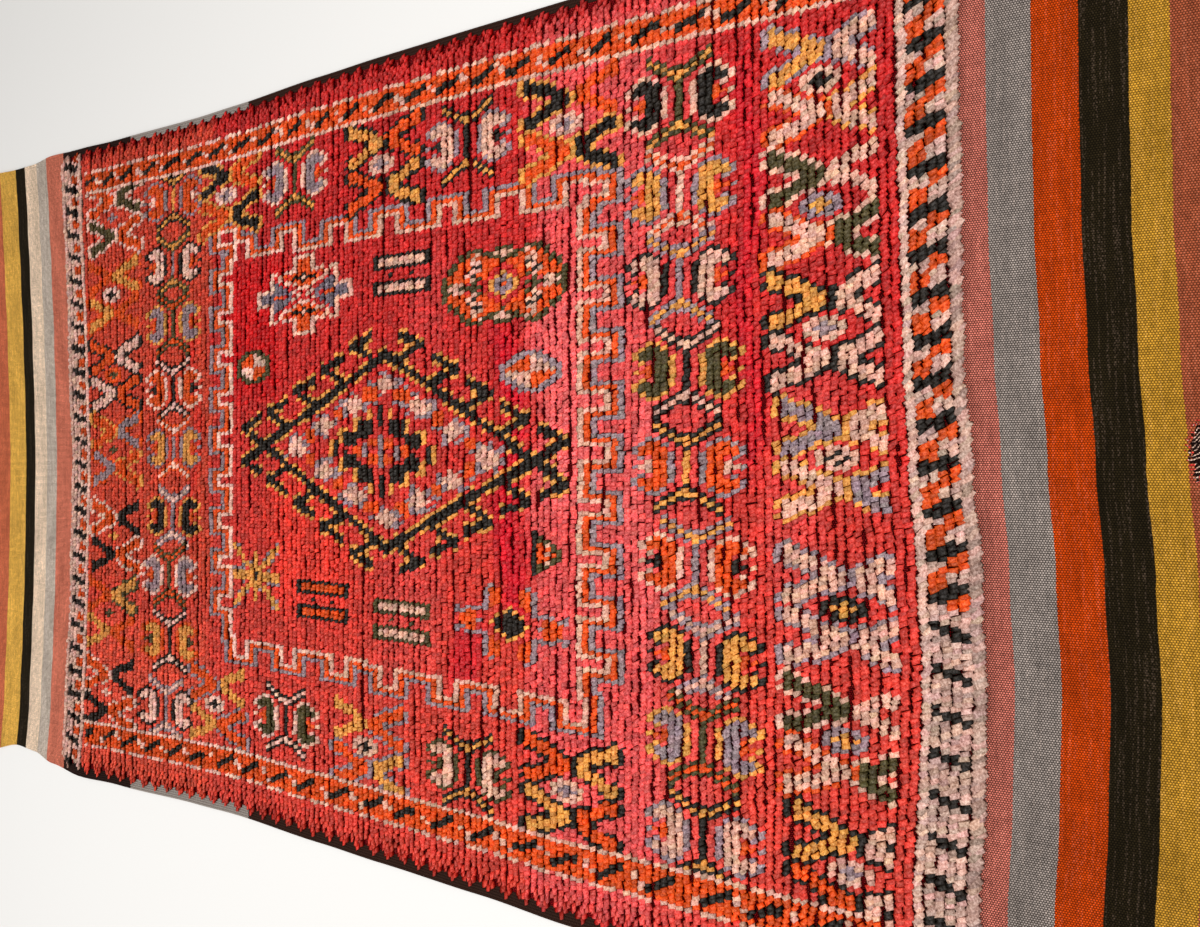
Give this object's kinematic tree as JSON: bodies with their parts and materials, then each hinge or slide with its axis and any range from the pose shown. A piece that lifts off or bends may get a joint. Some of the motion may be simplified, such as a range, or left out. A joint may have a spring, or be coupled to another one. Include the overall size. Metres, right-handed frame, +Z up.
{
  "type": "berber rug",
  "caption": "Long knotted-pile rug lying flat, with ridged rows of knots, bowed wefts, pointed locks over flat selvages and flatwoven ends.",
  "frame": {"origin": "middle of the rug's flat underside", "axes": "+Y along the rug's length towards its far end, +X across its width, +Z up out of the pile"},
  "size_m": [1.58, 2.8544, 0.019],
  "materials": {
    "wool": "matt knotted wool, mostly madder red"
  },
  "bodies": {
    "root": {"rug": "wool"}
  },
  "joints": []
}
